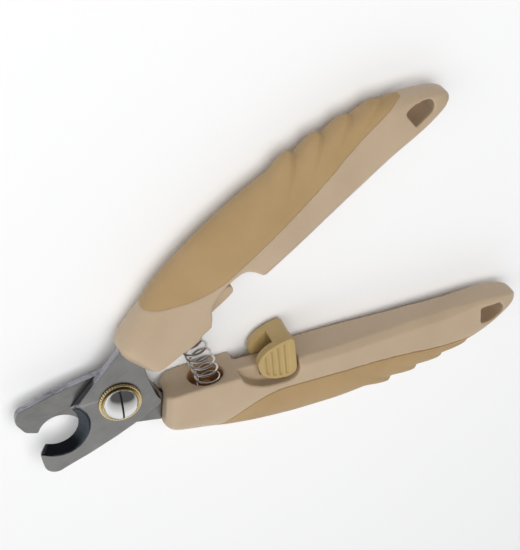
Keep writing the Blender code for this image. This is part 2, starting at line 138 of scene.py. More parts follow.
def slab(name, outline, low, high):
    """Solid between two copies of a flat outline, at heights low and high."""
    level = np.stack([np.full(len(outline), low), np.full(len(outline), high)])
    grid = np.concatenate([np.broadcast_to(outline, (2,) + outline.shape), level[..., None]], axis=2)
    return skin(name, grid)


def turned(name, profile, steps=96, ripple=None, sharp=None):
    """Solid turned about w: (r cos a, r sin a, w) for each (r, w) of a closed profile.

    ripple, if given, is a function of the angle and of r that is added to the radius.
    """
    profile = np.asarray(profile, float)
    a = np.linspace(0, 2 * np.pi, steps, endpoint=False)[:, None]
    r = np.broadcast_to(profile[:, 0], (steps, len(profile)))
    if ripple:
        r = r + ripple(a, r)
    grid = np.stack([r * np.cos(a), r * np.sin(a), np.broadcast_to(profile[:, 1], r.shape)], axis=2)
    return skin(name, grid, wrap_rows=True, sharp=sharp)


def carve(obj, tools, operation="DIFFERENCE"):
    """Add a Boolean step for each tool."""
    for tool in tools:
        step = obj.modifiers.new(tool.name, "BOOLEAN")
        step.operation = operation
        step.object = tool
        step.solver = "EXACT"


def settle(obj, upper, tools=(), sharp=None, depth=None):
    """Apply the steps on an object, remove their tools, and carry its mesh to its place.

    depth, if given, is a function of the points that gives how much painted shade each point gets deep in a
    pocket, kept as the attribute "inside".
    """
    graph = bpy.context.evaluated_depsgraph_get()
    mesh = bpy.data.meshes.new_from_object(obj.evaluated_get(graph))
    place = np.empty(len(mesh.vertices) * 3)
    mesh.vertices.foreach_get("co", place)
    place = place.reshape(-1, 3)
    # Painted shade: how much of it each point gets deep in a pocket.
    if depth:
        inside = mesh.attributes.new("inside", "FLOAT", "POINT")
        inside.data.foreach_set("value", depth(place).astype(np.float32))
    mesh.vertices.foreach_set("co", to_world(place, upper).ravel())
    obj.modifiers.clear()
    obj.data = mesh
    for tool in tools:
        bpy.data.objects.remove(tool, do_unlink=True)
    mesh.shade_smooth()
    if sharp:
        mesh.set_sharp_from_angle(angle=math.radians(sharp))
    mesh.update()
    return obj


def group_sockets(group, inputs, outputs):
    """Named inputs with defaults, named outputs, and the two nodes that carry them."""
    for label, kind, value in inputs:
        socket = group.interface.new_socket(label, in_out="INPUT", socket_type="NodeSocket" + kind)
        socket.default_value = value
    for label, kind in outputs:
        group.interface.new_socket(label, in_out="OUTPUT", socket_type="NodeSocket" + kind)
    return group.nodes.new("NodeGroupInput"), group.nodes.new("NodeGroupOutput")


def noise(nodes, links, vector, scale, detail=2.0, rough=0.5):
    """Noise value of a position."""
    node = nodes.new("ShaderNodeTexNoise")
    node.inputs["Scale"].default_value = scale
    node.inputs["Detail"].default_value = detail
    node.inputs["Roughness"].default_value = rough
    links.new(vector, node.inputs["Vector"])
    return node.outputs["Fac"]


def spread_range(nodes, links, value, low, high, from_low=0.3, from_high=0.7):
    """Value moved from one range to another and held inside it."""
    node = nodes.new("ShaderNodeMapRange")
    node.inputs["From Min"].default_value = from_low
    node.inputs["From Max"].default_value = from_high
    for label, end in (("To Min", low), ("To Max", high)):
        if hasattr(end, "links"):
            links.new(end, node.inputs[label])
        else:
            node.inputs[label].default_value = end
    links.new(value, node.inputs["Value"])
    return node.outputs["Result"]


def arithmetic(nodes, links, operation, first, second):
    node = nodes.new("ShaderNodeMath")
    node.operation = operation
    for k, value in enumerate((first, second)):
        if hasattr(value, "links"):
            links.new(value, node.inputs[k])
        else:
            node.inputs[k].default_value = value
    return node.outputs[0]


def blend_colour(nodes, links, factor, first, second):
    node = nodes.new("ShaderNodeMix")
    node.data_type = "RGBA"
    links.new(factor, node.inputs["Factor"])
    links.new(first, node.inputs["A"])
    links.new(second, node.inputs["B"])
    return node.outputs["Result"]


def make_ground_steel():
    """Grinding lines drawn out along one direction, faint handling marks, and a cloudy tone."""
    group = bpy.data.node_groups.new("ground_steel", "ShaderNodeTree")
    enter, leave = group_sockets(group, [("Vector", "Vector", (0, 0, 0)),
                                         ("Bright", "Color", (0.5, 0.5, 0.5, 1)),
                                         ("Dull", "Color", (0.4, 0.4, 0.4, 1)),
                                         ("Smooth", "Float", 0.25), ("Coarse", "Float", 0.4)],
                                 [("Colour", "Color"), ("Roughness", "Float"), ("Height", "Float")])
    nodes, links = group.nodes, group.links
    stretch = nodes.new("ShaderNodeMapping")
    stretch.inputs["Scale"].default_value = (0.05, 1.0, 0.3)
    links.new(enter.outputs["Vector"], stretch.inputs["Vector"])
    lines = noise(nodes, links, stretch.outputs["Vector"], 5200.0, 3.0, 0.6)
    cloud = noise(nodes, links, enter.outputs["Vector"], 150.0, 3.0, 0.6)
    both = arithmetic(nodes, links, "ADD", arithmetic(nodes, links, "MULTIPLY", lines, 0.45),
                      arithmetic(nodes, links, "MULTIPLY", cloud, 0.55))
    tone = spread_range(nodes, links, both, 0.0, 1.0, 0.36, 0.64)
    links.new(blend_colour(nodes, links, tone, enter.outputs["Dull"], enter.outputs["Bright"]),
              leave.inputs["Colour"])
    links.new(spread_range(nodes, links, both, enter.outputs["Coarse"], enter.outputs["Smooth"],
                           0.36, 0.64), leave.inputs["Roughness"])
    links.new(lines, leave.inputs["Height"])
    return group


GROUND_STEEL = make_ground_steel()


def steel(name, bright, dull, smooth, coarse, bump, turn=0.0):
    """Metal finish from the ground_steel group, its lines turned to run along the piece."""
    mat = bpy.data.materials.new(name)
    mat.use_nodes = True
    nodes, links = mat.node_tree.nodes, mat.node_tree.links
    shader = nodes["Principled BSDF"]
    shader.inputs["Metallic"].default_value = 1.0
    where = nodes.new("ShaderNodeTexCoord")
    mapping = nodes.new("ShaderNodeMapping")
    mapping.inputs["Rotation"].default_value = (0, 0, turn)
    links.new(where.outputs["Object"], mapping.inputs["Vector"])
    finish = nodes.new("ShaderNodeGroup")
    finish.node_tree = GROUND_STEEL
    links.new(mapping.outputs["Vector"], finish.inputs["Vector"])
    finish.inputs["Bright"].default_value = (*bright, 1)
    finish.inputs["Dull"].default_value = (*dull, 1)
    finish.inputs["Smooth"].default_value = smooth
    finish.inputs["Coarse"].default_value = coarse
    links.new(finish.outputs["Colour"], shader.inputs["Base Color"])
    links.new(finish.outputs["Roughness"], shader.inputs["Roughness"])
    dent = nodes.new("ShaderNodeBump")
    dent.inputs["Strength"].default_value = bump
    dent.inputs["Distance"].default_value = 0.00002
    links.new(finish.outputs["Height"], dent.inputs["Height"])
    links.new(dent.outputs["Normal"], shader.inputs["Normal"])
    return mat


def blade_grid():
    """Blade skin: one closed outline per level through the thickness.

    At level t the jaw's arc is edge + (face - edge) sin(t pi / 2), and the rest of the outline is
    drawn in by a small radius at both faces. Returns the grid and which columns are the jaw.
    """
    heel = [(10.8, -0.9), (8.5, -7.0)] + arc_points((6.5, -9.2), 1.7, 15, -100, 8).tolist()
    front = [(-2.0, -10.0), (-9.5, -8.8), (-18.8, -6.8), (-25.5, -4.95)]
    tip = arc_points((-27.1, -0.8), 3.7, 250, 150, 14).tolist() + [(-28.7, 4.0)]
    rest = [(12.6, 13.4), (19.0, 14.6), (44.0, 15.2), (44.0, 9.4), (19.0, 8.6), (15.5, 5.0),
            (12.6, 2.8)] + heel + front + tip
    level = np.array([0.0, 0.03, 0.12, 0.25, 0.4, 0.55, 0.7, 0.84, 0.92, 0.97, 1.0])
    inset = np.array([0.05, 0.0, 0.0, 0.0, 0.0, 0.0, 0.0, 0.0, 0.01, 0.06, 0.16])
    rings = []
    for t, pull in zip(level, inset):
        centre_u, centre_v, radius, start, end = JAW_EDGE + (JAW_FACE - JAW_EDGE) * math.sin(t * math.pi / 2)
        arc = arc_points((centre_u, centre_v), radius + 0.7 * pull, start, end, JAW_POINTS + 6)
        corners = [arc[-4], arc[-1]] + rest + [arc[0], arc[3]]
        outline = np.concatenate([arc[3:-3], round_off(corners, 0.9)[6:-6]])
        side = np.roll(outline, -1, axis=0) - np.roll(outline, 1, axis=0)
        inward = np.stack([-side[:, 1], side[:, 0]], axis=1)
        inward = inward / np.linalg.norm(inward, axis=1)[:, None]
        inward[:JAW_POINTS] = 0.0
        flat = outline - inward * pull
        rings.append(np.column_stack([flat, np.full(len(flat), BLADE_LIFT + BLADE_THICK * t)]))
    return np.array(rings), np.arange(len(rings[0])) < JAW_POINTS - 1


# The rear blade's face is a little darker than the front one's: painted shade on the same steel.
STEEL_FACE = {True: steel("blade_face_front", (0.42, 0.415, 0.40), (0.34, 0.335, 0.32), 0.28, 0.36, 0.25,
                          -HALF_OPEN),
              False: steel("blade_face_rear_painted_shade", (0.40, 0.395, 0.38), (0.31, 0.305, 0.29), 0.28, 0.36, 0.25,
                           HALF_OPEN)}
# The side walls, and darkest of all the hollow of the jaw, are given much darker steel than the faces:
# painted dark reflection on the same steel.
STEEL_WALL_PAINTED_REFLECTION = steel("blade_wall_painted_reflection", (0.40, 0.40, 0.43), (0.14, 0.14, 0.16), 0.14, 0.3, 0.2)
STEEL_BEVEL_PAINTED_REFLECTION = steel("blade_bevel_painted_reflection", (0.085, 0.10, 0.11), (0.05, 0.06, 0.07), 0.14, 0.25, 0.15)


def make_blade(name, node, body, upper):
    grid, is_jaw = blade_grid()
    # Faces of the jaw's hollow, which get the darkest steel: painted dark reflection.
    ground = is_jaw[None, :] & (np.arange(len(grid) - 1) < len(grid) - 3)[:, None]
    obj = skin(name, grid, slots=np.where(ground, 2, 1))
    for finish in (STEEL_FACE[upper], STEEL_WALL_PAINTED_REFLECTION, STEEL_BEVEL_PAINTED_REFLECTION):
        obj.data.materials.append(finish)
    bore = turned(name + "_bore", [(0, -3), (BLADE_BORE, -3), (BLADE_BORE, 6), (0, 6)], 64)
    carve(obj, [bore])
    settle(obj, upper, [bore], sharp=32)
    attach(obj, body)
    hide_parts(node)


make_blade("ground_front_blade", "front_blade", "upper", True)
make_blade("ground_rear_blade", "rear_blade", "lower", False)


# ---------------------------------------------------------------------------------------------------
# The handles: each is one cream hard-plastic moulding that holds a blade's tang, with a flat inner
# face, a round spring socket, a D-shaped hanging hole, and a shallow step where the soft grip lies.
# The upper one has the lock's hook in a notch, the lower one the rail that the lock slides on.

NOSE_U = 12.5
TIP_U = 130.4
SOCKET_U = 27.0                                # centre of the spring socket
SOCKET_R = 5.5
ROUND_POWER = 2.2                              # exponent of the rounded outer side
GRIP_DEPTH = 1.6
NOTCH_W = 2.75                                 # half width of the hook between the notch's two sides
RAIL_W = 2.85                                  # half width of the lock's rail
STEP_PLAY = 0.05                               # space between a handle's step and the grip
OUTER_V = [(12.5, 13.2), (13.6, 14.9), (15.5, 15.8), (18, 16.6), (24, 18.4), (33, 20.9), (43, 22.4),
           (55, 23.1), (66, 23.0), (78, 22.0), (90, 20.5), (103, 17.9), (115, 14.2), (122, 10.7),
           (127, 7.1), (129.4, 4.8), (130.4, 3.3)]
INNER_V = [(12.5, 2.2), (15, 1.2), (20, 0.65), (27, 0.55), (60, 0.35), (100, -0.1), (118, -0.35),
           (126, 0.0), (129.4, 0.8), (130.4, 1.5)]
HALF_THICK = [(12.5, 4.6), (14.8, 6.8), (17, 7.2), (24, 7.3), (62, 7.3), (85, 6.3), (106, 5.3),
              (120, 4.7), (127, 4.0), (129.4, 3.2), (130.4, 2.2)]
ROUND_V = [(12.5, 3.6), (18, 4.8), (26, 8.0), (36, 11.4), (46, 13.2), (60, 13.8), (90, 10.4),
           (106, 6.4), (118, 3.6), (126, 2.4), (130.4, 0.5)]
FACET_V = [(12.5, 0.5), (50, 0.5), (58, 2.1), (104, 2.0), (118, 0.9), (130.4, 0.3)]
GRIP_EDGE_V = [(24.5, 19.4), (26.5, 18.6), (29.5, 16.9), (33.8, 14.6), (37, 12.8), (41.2, 11.0),
               (45, 9.8), (50, 9.0), (58, 9.1), (75, 9.6), (91, 10.8), (99.5, 12.0), (109, 12.6),
               (117, 12.5), (120.5, 11.6), (122, 10.9)]
CREAM = (0.50, 0.385, 0.265)
CREAM_DEEP = (0.465, 0.355, 0.24)
# Painted shade: the orange-brown that the cream is given deep in the spring socket and the hanging hole.
PAINTED_POCKET_SHADE = (0.42, 0.22, 0.09)               # what the cream looks like deep in a pocket


def smooth_curve(points, at):
    """Cubic Hermite curve through (x, value) points that never overshoots them.

    The slope at a point is the harmonic mean of the slopes on both sides, and zero at a turn.
    """
    xs, ys = np.array(points, float).T
    sides = np.diff(ys) / np.diff(xs)
    product = sides[:-1] * sides[1:]
    total = np.where(product > 0, sides[:-1] + sides[1:], 1.0)
    slopes = np.concatenate([sides[:1], np.where(product > 0, 2 * product / total, 0.0), sides[-1:]])
    at = np.clip(np.asarray(at, float), xs[0], xs[-1])
    i = np.clip(np.searchsorted(xs, at) - 1, 0, len(xs) - 2)
    step = xs[i + 1] - xs[i]
    t = (at - xs[i]) / step
    rise = ys[i] * (2 * t**3 - 3 * t**2 + 1) + ys[i + 1] * (3 * t**2 - 2 * t**3)
    return rise + step * (slopes[i] * (t**3 - 2 * t**2 + t) + slopes[i + 1] * (t**3 - t**2))


def even_out(curves, count):
    """The same curves (rows, points, 2) with `count` points spaced evenly along each.

    Each row's running length is shifted past the row before, so one interpolation serves them all.
    """
    step = np.linalg.norm(np.diff(curves, axis=1), axis=2)
    run = np.concatenate([np.zeros((len(curves), 1)), np.cumsum(step, axis=1)], axis=1)
    shift = np.arange(len(curves))[:, None] * (run.max() * 2 + 1)
    at = run[:, -1:] * np.linspace(0, 1, count) + shift
    return np.stack([np.interp(at.ravel(), (run + shift).ravel(), curves[..., k].ravel())
                     .reshape(at.shape) for k in (0, 1)], axis=2)


def slant_nose(u, v, w):
    """Handle points whose outer side reaches further forward near the nose."""
    fade = np.clip((27.0 - u) / 14.5, 0, 1) ** 2
    return np.stack(np.broadcast_arrays(u - 0.17 * (v - 8.0) * fade, v, w), axis=2)


def handle_side(u, inset):
    """Start of the round part, its depth and the half thickness at u, drawn in by inset."""
    inner = smooth_curve(INNER_V, u)
    crown = smooth_curve(OUTER_V, u) - inset
    half = smooth_curve(HALF_THICK, u) - inset
    reach = np.minimum(smooth_curve(ROUND_V, u), crown - inner - 0.4)
    return (crown - reach)[:, None], reach[:, None], half[:, None]


def corner_angle(v, start, reach):
    """Angle of the superellipse v = start + reach cos(a)^(2/p) at which it reaches v."""
    share = np.clip((v - start) / reach, 0, 1)
    return np.arccos(share ** (ROUND_POWER / 2))


def superellipse(start, reach, half, angle):
    """v = start + reach cos(a)^(2/p), w = half sin(a)^(2/p)."""
    c = np.clip(np.cos(angle), 0, 1)
    s = np.clip(np.sin(angle), 0, 1)
    return start + reach * c ** (2 / ROUND_POWER), half * s ** (2 / ROUND_POWER)


def core_grid():
    """Skin of the hard handle before its pockets are cut: one closed ring for each u.

    From the inner face's middle the ring runs to the facet, along the flat side, round the
    superellipse to the grip's step, down it, and round a second superellipse set in by the grip's
    depth to the spine; the other half mirrors it.
    """
    u = np.concatenate([np.arange(NOSE_U, 16, 0.35), np.arange(16, 126, 0.8),
                        np.arange(126, TIP_U, 0.35), [TIP_U]])
    start, reach, half = handle_side(u, 0.0)
    floor_start, floor_reach, floor_half = handle_side(u, GRIP_DEPTH + STEP_PLAY)
    inner = smooth_curve(INNER_V, u)[:, None]
    crown = start + reach
    facet = np.minimum(smooth_curve(FACET_V, u)[:, None], 0.3 * (crown - inner))
    edge = smooth_curve(GRIP_EDGE_V, u)[:, None] - STEP_PLAY
    edge = np.where(edge > crown - 0.3, crown, edge)
    s = np.linspace(0, 1, 40)[None, :]
    zero = np.zeros_like(s)
    parts = [(inner + zero, s * (half - 0.85 * facet)), (inner + facet * s, half + facet * 0.85 * (s - 1))]
    flat_end = np.minimum(start, edge)
    parts.append((inner + facet + (flat_end - inner - facet) * s, half + zero))
    last = corner_angle(edge, start, reach)
    v, w = superellipse(start, reach, half, np.pi / 2 + (last - np.pi / 2) * s)
    parts.append((np.minimum(v, edge), w))
    edge_w = w[:, -1:]
    begin = np.maximum(floor_start, edge)
    first = corner_angle(begin, floor_start, floor_reach)
    covered = edge < floor_start + floor_reach - 0.05
    v, w = superellipse(floor_start, floor_reach, floor_half, first * (1 - s))
    flat_w = superellipse(floor_start, floor_reach, floor_half,
                          corner_angle(edge, floor_start, floor_reach))[1]
    down = np.where(covered, flat_w, edge_w)
    parts.append((edge + (begin - edge) * s * covered, down + (w[:, :1] - down) * s * covered))
    parts.append((np.where(covered, v, edge), np.where(covered, w, edge_w * (1 - s))))
    side = np.stack([np.concatenate([p[k] for p in parts], axis=1) for k in (0, 1)], axis=2)
    side = even_out(side, 72)
    v = np.concatenate([side[..., 0], side[:, -2:0:-1, 0]], axis=1)
    w = np.concatenate([side[..., 1], -side[:, -2:0:-1, 1]], axis=1)
    return slant_nose(u[:, None], v, w)


def shared_tools(name):
    """Blade pocket, spring socket with its centre boss, and hanging hole."""
    pocket = round_off([(8.0, 14.4), (12.6, 14.0), (19.0, 14.8), (44.3, 15.4), (44.3, 9.2), (19.0, 8.4),
                        (15.7, 4.9), (12.6, 2.4), (8.0, 1.8)], 0.3)
    tools = [slab(name + "_pocket", pocket, BLADE_LIFT - 0.25, BLADE_LIFT + BLADE_THICK + 0.25)]
    cup = [(0, -3), (SOCKET_R + 0.4, -3), (SOCKET_R + 0.4, 0.55), (SOCKET_R, 0.95), (SOCKET_R, 6.5),
           (SOCKET_R - 0.4, 6.9), (1.7, 6.9), (1.6, 4.3), (1.3, 3.9), (0, 3.9)]
    socket = turned(name + "_socket", cup, 72)
    place = np.empty(len(socket.data.vertices) * 3)
    socket.data.vertices.foreach_get("co", place)
    x, y, z = place.reshape(-1, 3).T
    socket.data.vertices.foreach_set("co", np.stack([x + SOCKET_U, z, -y], axis=1).ravel())
    tools.append(socket)
    hole = [(117.3, 2.4), (123.6, 2.4)]
    hole += arc_points((123.1, 4.9), 2.5, -60, 40, 5).tolist()
    hole += [(122.9, 7.6), (120.4, 8.5), (117.9, 8.4), (117.3, 7.7)]
    tools.append(slab(name + "_hole", round_off(hole, 0.7), -9.0, 9.0))
    return tools


def notch_tools():
    """Cuts of the upper handle: a wide notch for the lock's pads and, in the middle, a hook."""
    wide = round_off([(57.4, -3.0), (57.4, 1.4), (56.6, 4.2), (55.2, 6.7), (53.0, 7.7), (49.0, 7.9),
                      (45.0, 7.5), (41.5, 6.4), (39.6, 5.0), (38.3, 3.1), (36.2, 1.0), (32.0, -3.0)], 0.7)
    middle = round_off([(57.4, -3.0), (57.4, 1.4), (56.6, 4.2), (55.2, 6.7), (53.0, 7.7), (46.0, 7.9),
                        (42.8, 7.5), (42.0, 6.3), (42.6, 4.8), (47.2, 4.5), (48.0, 3.6), (47.8, 2.2),
                        (46.8, 1.5), (36.0, 1.3), (32.0, -3.0)], 0.7)
    return [slab("notch_near", wide, NOTCH_W, 12.0), slab("notch_far", wide, -12.0, -NOTCH_W),
            slab("hook_gap", middle, -3.4, 3.4)]


def rail_tools():
    """Cuts of the lower handle: a rounded recess on each side that leaves the lock's rail."""
    recess = round_off([(36.4, -3.0), (36.5, 0.8), (37.2, 2.6), (39.0, 4.3), (42.5, 6.1), (46.0, 6.8),
                        (51.5, 6.9), (53.9, 5.9), (55.1, 3.8), (55.3, -3.0)], 1.2)
    track = round_off([(43.4, 1.7), (50.6, 1.7), (50.6, 5.1), (43.4, 5.1)], 0.5)
    tools = []
    for label, low, high, track_low, track_high in (("near", -12.0, -RAIL_W, -3.4, -1.5),
                                                    ("far", RAIL_W, 12.0, 1.5, 3.4)):
        tools.append(slab("recess_" + label, recess, low, high))
        tools.append(slab("track_" + label, track, track_low, track_high))
    return tools


def make_moulded():
    """Spark-eroded mould texture, slow cloudiness of the resin, rubbed, shinier areas, and a painted shade
    colour blended in by a given amount.
    """
    group = bpy.data.node_groups.new("moulded_finish", "ShaderNodeTree")
    enter, leave = group_sockets(group, [("Vector", "Vector", (0, 0, 0)),
                                         ("Colour", "Color", (0.5, 0.5, 0.5, 1)),
                                         ("Deep", "Color", (0.4, 0.4, 0.4, 1)),
                                         ("Painted Shade Colour", "Color", (0.4, 0.2, 0.1, 1)),
                                         ("Inside", "Float", 0.0), ("Grain", "Float", 3200.0),
                                         ("Polished", "Float", 0.35), ("Matt", "Float", 0.5)],
                                 [("Colour", "Color"), ("Roughness", "Float"), ("Height", "Float")])
    nodes, links = group.nodes, group.links
    cloud = noise(nodes, links, enter.outputs["Vector"], 70.0, 3.0, 0.55)
    rubbed = noise(nodes, links, enter.outputs["Vector"], 190.0, 4.0, 0.6)
    grain = nodes.new("ShaderNodeTexNoise")
    grain.inputs["Detail"].default_value = 2.0
    links.new(enter.outputs["Vector"], grain.inputs["Vector"])
    links.new(enter.outputs["Grain"], grain.inputs["Scale"])
    speck = arithmetic(nodes, links, "MULTIPLY", grain.outputs["Fac"], 0.3)
    tone = arithmetic(nodes, links, "ADD", arithmetic(nodes, links, "MULTIPLY", cloud, 0.7), speck)
    skin_colour = blend_colour(nodes, links, spread_range(nodes, links, tone, 0.0, 1.0, 0.38, 0.62),
                               enter.outputs["Deep"], enter.outputs["Colour"])
    # Painted shade: the shade colour laid over the plastic's own colour by the shade amount.
    links.new(blend_colour(nodes, links, enter.outputs["Inside"], skin_colour, enter.outputs["Painted Shade Colour"]),
              leave.inputs["Colour"])
    links.new(spread_range(nodes, links, rubbed, enter.outputs["Polished"], enter.outputs["Matt"],
                           0.35, 0.65), leave.inputs["Roughness"])
    links.new(grain.outputs["Fac"], leave.inputs["Height"])
    return group


MOULDED = make_moulded()


def moulded(name, colour, deep, grain, polished, matt, bump, glow=0.0, painted_shade_colour=None):
    """Plastic or rubber finish from the moulded_finish group.

    glow is how much light seeps in; the last argument, if given, is an orange-brown painted shade colour
    that is blended in deep in the pockets by the attribute "inside".
    """
    mat = bpy.data.materials.new(name)
    mat.use_nodes = True
    nodes, links = mat.node_tree.nodes, mat.node_tree.links
    shader = nodes["Principled BSDF"]
    shader.inputs["Subsurface Weight"].default_value = glow
    shader.inputs["Subsurface Radius"].default_value = (1.0, 0.55, 0.25)
    shader.inputs["Subsurface Scale"].default_value = 0.002
    shader.inputs["Specular IOR Level"].default_value = 0.4
    where = nodes.new("ShaderNodeTexCoord")
    finish = nodes.new("ShaderNodeGroup")
    finish.node_tree = MOULDED
    links.new(where.outputs["Object"], finish.inputs["Vector"])
    finish.inputs["Colour"].default_value = (*colour, 1)
    finish.inputs["Deep"].default_value = (*deep, 1)
    # Painted shade deep in the pockets, its amount read from the attribute "inside".
    if painted_shade_colour:
        finish.inputs["Painted Shade Colour"].default_value = (*painted_shade_colour, 1)
        inside = nodes.new("ShaderNodeAttribute")
        inside.attribute_name = "inside"
        links.new(inside.outputs["Fac"], finish.inputs["Inside"])
    finish.inputs["Grain"].default_value = grain
    finish.inputs["Polished"].default_value = polished
    finish.inputs["Matt"].default_value = matt
    links.new(finish.outputs["Colour"], shader.inputs["Base Color"])
    links.new(finish.outputs["Roughness"], shader.inputs["Roughness"])
    dent = nodes.new("ShaderNodeBump")
    dent.inputs["Strength"].default_value = bump
    dent.inputs["Distance"].default_value = 0.00003
    links.new(finish.outputs["Height"], dent.inputs["Height"])
    links.new(dent.outputs["Normal"], shader.inputs["Normal"])
    return mat


def melt(obj, cell, passes):
    """Turn a cut solid into one even skin, then relax it, so every edge is a moulded radius."""
    step = obj.modifiers.new("even_skin", "REMESH")
    step.mode = "VOXEL"
    step.voxel_size = cell
    relax = obj.modifiers.new("relax", "SMOOTH")
    relax.factor = 0.5
    relax.iterations = passes


# The cream moulding carries an orange-brown painted shade deep in its pockets.
HANDLE_PLASTIC = moulded("cream_moulding", CREAM, CREAM_DEEP, 3400.0, 0.36, 0.46, 0.35, 0.12, PAINTED_POCKET_SHADE)


def painted_pocket_shade(points):
    """Painted shade in the spring socket and, at a quarter of its strength, in the hanging hole: 0 at the
    rim, up to 1 deep inside.
    """
    u, v, w = points.T
    socket = np.clip((v - 0.7) / 2.0, 0, 1) * (np.hypot(u - SOCKET_U, w) < SOCKET_R + 0.7) * (v < 8.0)
    hole = np.clip((smooth_curve(HALF_THICK, u) - 0.3 - np.abs(w)) / 0.9, 0, 1)
    hole = hole * (u > 117.0) * (u < 124.2) * (v > 2.0) * (v < smooth_curve(OUTER_V, u) - 0.8)
    return np.maximum(socket, 0.25 * hole * (v < 8.9))


def make_handle(name, node, body, upper, extra):
    obj = skin(name, core_grid())
    obj.data.materials.append(HANDLE_PLASTIC)
    lip = slab(name + "_lip", round_off([(24.0, 2.5), (24.5, 0.3), (25.8, -0.25), (30.6, -0.25),
                                         (31.9, 0.3), (32.4, 2.5)], 0.5), 5.6, 6.9)
    tools = shared_tools(name) + extra
    carve(obj, [lip], "UNION")
    carve(obj, tools)
    melt(obj, 0.37, 4)
    settle(obj, upper, tools + [lip], depth=painted_pocket_shade)
    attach(obj, body)
    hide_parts(node)


make_handle("moulded_upper_handle", "upper_handle", "upper", True, notch_tools())
make_handle("moulded_lower_handle", "lower_handle", "lower", False, rail_tools())


# ---------------------------------------------------------------------------------------------------
# The soft grips: a tan rubber-like shell moulded over the outer side of each handle, flush with the
# hard plastic at its edge. Four finger ridges rise slowly and fall away quickly, and each sweeps
# towards the pivot as it runs down the sides.

GRIP_FRONT_U = 26.2
GRIP_REAR_U = 120.0
TOOTH_FIRST_U = 78.3
TOOTH_PITCH = 9.28
TOOTH_COUNT = 4
TOOTH_HEIGHT = 1.9
TOOTH_LOSS = 0.2
TOOTH_SWEEP = 17.0
LIP_R = 0.2                                    # radius on the grip's edge
TAN = (0.42, 0.285, 0.14)
TAN_DEEP = (0.39, 0.26, 0.122)


def tooth_height(u):
    """Finger ridges: sin(s pi / 2)^1.6 over the first 0.88 of the pitch, then a cosine down to zero."""
    phase = (u - TOOTH_FIRST_U) / TOOTH_PITCH
    part = phase - np.floor(phase)
    rise = np.sin(np.clip(part / 0.88, 0, 1) * np.pi / 2) ** 1.6
    fall = np.cos(np.clip((part - 0.88) / 0.12, 0, 1) * np.pi / 2)
    inside = (phase >= 0) & (phase < TOOTH_COUNT)
    return np.where(inside, (TOOTH_HEIGHT - TOOTH_LOSS * np.floor(phase)) * rise * fall, 0.0)


def grip_grid():
    """Skin of a soft grip: one closed C-shaped ring for each u.

    The outside follows the handle's superellipse, with the ridges added to its depth; the inside is
    the same curve drawn in by the grip's depth, and the edge between them is rounded.
    """
    u = np.concatenate([np.arange(GRIP_FRONT_U, 40, 0.45), np.arange(40, 70, 0.8),
                        np.arange(70, GRIP_REAR_U, 0.3), [GRIP_REAR_U]])
    start, reach, half = handle_side(u, 0.0)
    edge = np.minimum(smooth_curve(GRIP_EDGE_V, u)[:, None], start + reach - 0.12)
    s = np.linspace(0, 1, 90)[None, :]
    flat = (edge + (np.maximum(start, edge) - edge) * s, half + 0 * s)
    flat_w = superellipse(start, reach, half, corner_angle(edge, start, reach))[1]
    flat = (flat[0], np.where(edge < start, flat[1], flat_w))
    angle = corner_angle(np.maximum(start, edge), start, reach) * (1 - s)
    sweep = TOOTH_SWEEP * (2 * angle / np.pi) ** 2
    lift = tooth_height(u[:, None] + sweep) * np.clip(np.cos(angle), 0, 1) ** 0.7
    curved = superellipse(start, reach + lift, half, angle)
    outside = np.stack([np.concatenate([flat[k], curved[k]], axis=1) for k in (0, 1)], axis=2)
    outside = even_out(outside, 64)
    side = np.gradient(outside, axis=1)
    normal = np.stack([side[..., 1], -side[..., 0]], axis=2)
    normal = normal / np.maximum(np.linalg.norm(normal, axis=2, keepdims=True), 1e-9)
    run = np.linalg.norm(np.diff(outside, axis=1), axis=2).cumsum(axis=1)
    run = np.concatenate([np.zeros((len(u), 1)), run], axis=1)
    near = np.clip(1 - run / LIP_R, 0, 1)
    ends = np.minimum(u - u[0], u[-1] - u)[:, None]
    near = np.maximum(near, np.clip(1 - ends / LIP_R, 0, 1))
    drop = LIP_R * (1 - np.sqrt(1 - near ** 2))
    outer = outside + normal * drop[..., None]
    inner = outside + normal * GRIP_DEPTH
    inner[..., 0] = np.maximum(inner[..., 0], edge)
    inner[..., 1] = np.maximum(inner[..., 1], 0.0)
    inner[:, -1, 1] = 0.0
    outer[:, -1, 1] = 0.0
    over = np.concatenate([outer, outer[:, -2::-1] * (1, -1)], axis=1)
    under = np.concatenate([inner, inner[:, -2::-1] * (1, -1)], axis=1)[:, ::-1]
    ring = np.concatenate([over, under], axis=1)
    return slant_nose(u[:, None], ring[..., 0], ring[..., 1])


GRIP_RUBBER = moulded("tan_soft_grip", TAN, TAN_DEEP, 4200.0, 0.52, 0.64, 0.5, 0.05)


def make_grip(name, node, body, upper):
    obj = skin(name, grip_grid())
    obj.data.materials.append(GRIP_RUBBER)
    settle(obj, upper, sharp=60)
    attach(obj, body)
    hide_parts(node)


make_grip("soft_upper_grip", "upper_grip", "upper", True)
make_grip("soft_lower_grip", "lower_grip", "lower", False)


# ---------------------------------------------------------------------------------------------------
# The return spring: nine turns of bright plated wire that stands in the two sockets and pushes the
# handles apart. The real one is wound close at both ends and bends and shortens as the handles close;
# here it is one fixed coil with evenly spaced turns and a slightly bowed centre line.

SPRING_R = 3.65
WIRE_R = 0.4
SPRING_TURNS = 9.0
SPRING_MIDDLE = 26.8                           # the spring's middle, from the pivot
SPRING_BOW = 59.0                              # radius of the slight bow in its centre line
SPRING_REACH = 13.8


